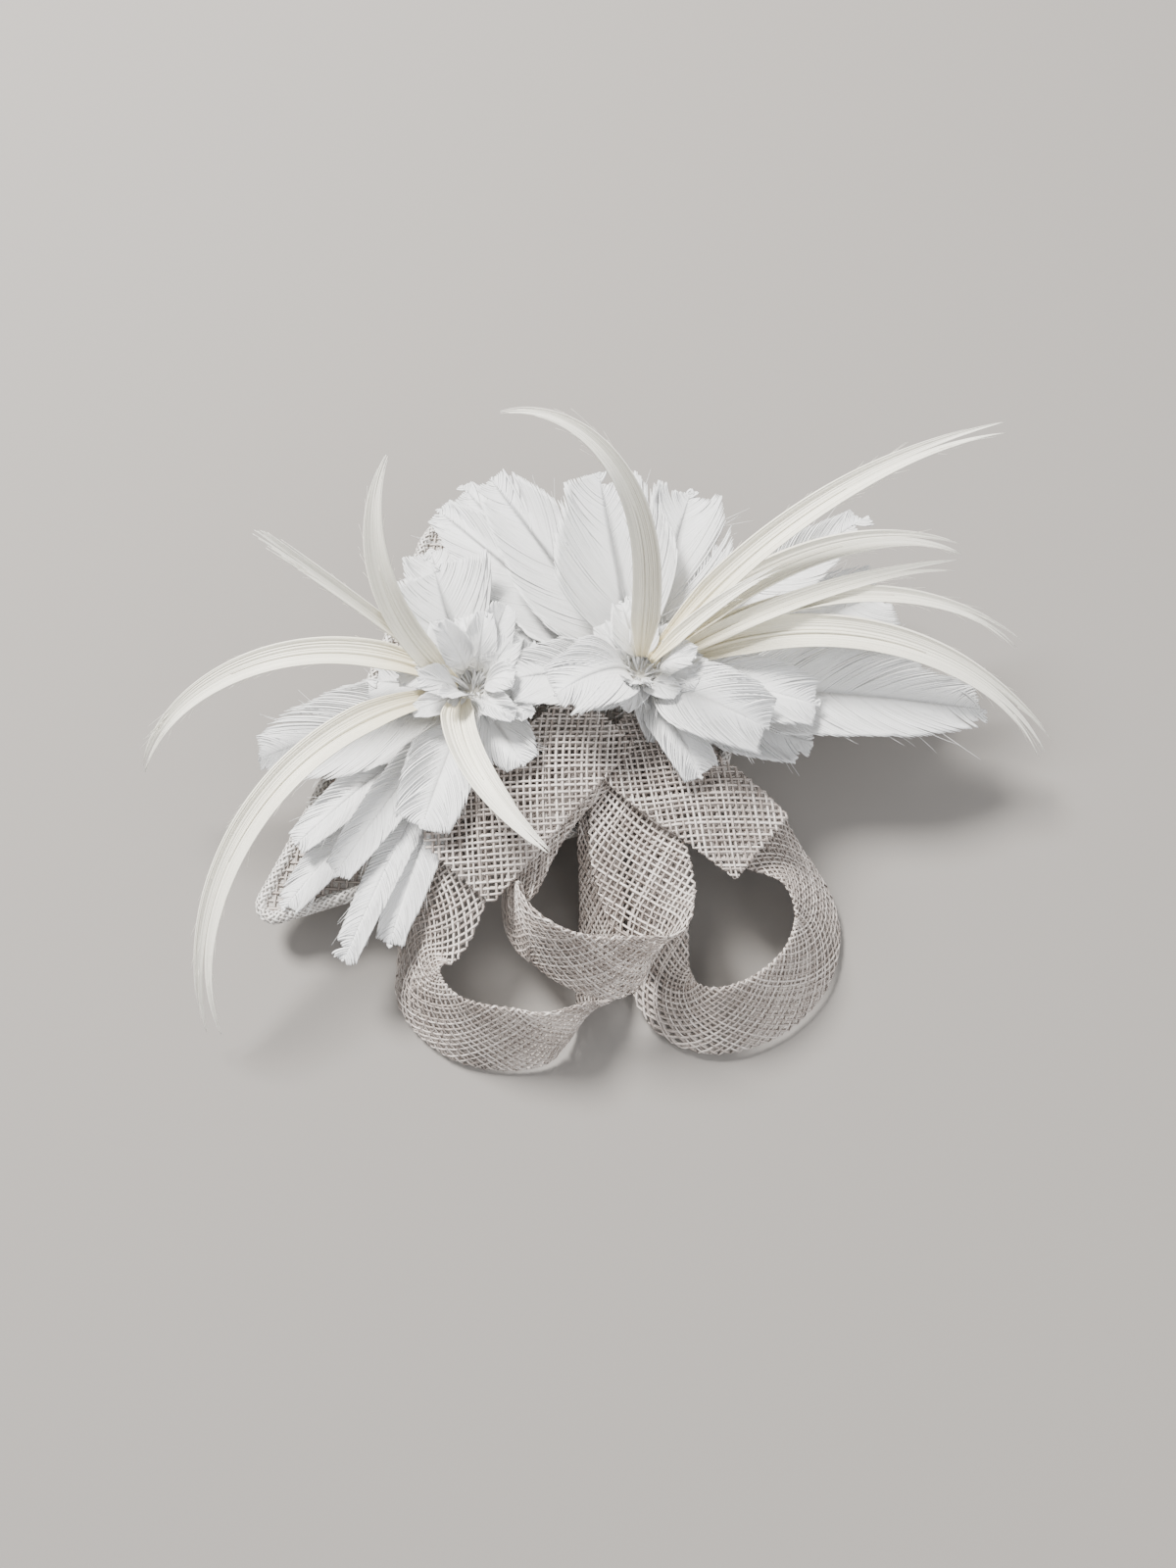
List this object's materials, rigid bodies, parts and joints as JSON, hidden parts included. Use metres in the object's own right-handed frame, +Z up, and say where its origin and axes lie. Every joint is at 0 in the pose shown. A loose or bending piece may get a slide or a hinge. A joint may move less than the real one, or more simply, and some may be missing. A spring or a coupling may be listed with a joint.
{
  "type": "feather fascinator",
  "caption": "Hair fascinator: curled quill feathers and white petals with woven ribbon loops on a domed leaf-shaped base with a sprung clip.",
  "frame": {"origin": "middle of the underside of the clip's thumb pad, which rests on the table", "axes": "+Z up from the table, +X along the clip from its grip to its thumb pad and to the right as worn, +Y away from the ribbon loops"},
  "size_m": [0.1753, 0.1181, 0.0788],
  "materials": {
    "biot_cream": "satin",
    "petal_white": "matte",
    "sinamay_ribbon": "satin",
    "sinamay_base": "satin",
    "sinamay_binding": "satin",
    "buckram": "matte",
    "felt": "matte",
    "wadding": "matte",
    "thread": "matte",
    "clip_steel": "satin",
    "spring_steel": "satin"
  },
  "bodies": {
    "fascinator": {"biot_top": "biot_cream", "biot_right_high": "biot_cream", "biot_right_back": "biot_cream", "biot_right_thin": "biot_cream", "biot_right_split": "biot_cream", "biot_right_front": "biot_cream", "biot_right_wisp": "biot_cream", "biot_left_high": "biot_cream", "biot_left_low": "biot_cream", "biot_left_rear": "biot_cream", "biot_left_stick": "biot_cream", "biot_front": "biot_cream", "petal_back_1": "petal_white", "petal_back_2": "petal_white", "petal_back_3": "petal_white", "petal_back_4": "petal_white", "petal_back_5": "petal_white", "petal_back_6": "petal_white", "petal_back_7": "petal_white", "petal_right_1": "petal_white", "petal_right_2": "petal_white", "petal_right_3": "petal_white", "petal_right_4": "petal_white", "petal_curl_1": "petal_white", "petal_curl_2": "petal_white", "petal_curl_3": "petal_white", "petal_curl_4": "petal_white", "petal_front": "petal_white", "petal_left_1": "petal_white", "petal_left_2": "petal_white", "petal_left_3": "petal_white", "petal_left_4": "petal_white", "petal_left_5": "petal_white", "petal_finger_1": "petal_white", "petal_finger_2": "petal_white", "petal_finger_3": "petal_white", "petal_finger_4": "petal_white", "petal_finger_5": "petal_white", "petal_under": "petal_white", "petal_gap_1": "petal_white", "petal_gap_2": "petal_white", "petal_inner_1": "petal_white", "petal_inner_2": "petal_white", "ribbon_loop_left": "sinamay_ribbon", "ribbon_loop_right": "sinamay_ribbon", "ribbon_loop_middle": "sinamay_ribbon", "ribbon_tail_left": "sinamay_ribbon", "ribbon_tail_right": "sinamay_ribbon", "base_form": "buckram", "base_cover": "sinamay_base", "base_binding": "sinamay_binding", "felt_pad": "felt", "core_main": "wadding", "core_left": "wadding", "loop_tie": "thread", "clip_plate": "clip_steel", "clip_pin": "clip_steel", "clip_stitches": "thread", "clip_spring": "spring_steel"},
    "clip_jaw": {"clip_jaw": "clip_steel"}
  },
  "joints": [
    {"name": "clip_hinge", "type": "hinge", "parent": "fascinator", "child": "clip_jaw", "pos_m": [-0.015, 0, 0.0056], "axis": [0, -1, 0], "range_deg": [0, 14], "stiffness_Nm_per_rad": 0.02, "springref_deg": -20.05, "deforming": ["clip_spring"]}
  ]
}
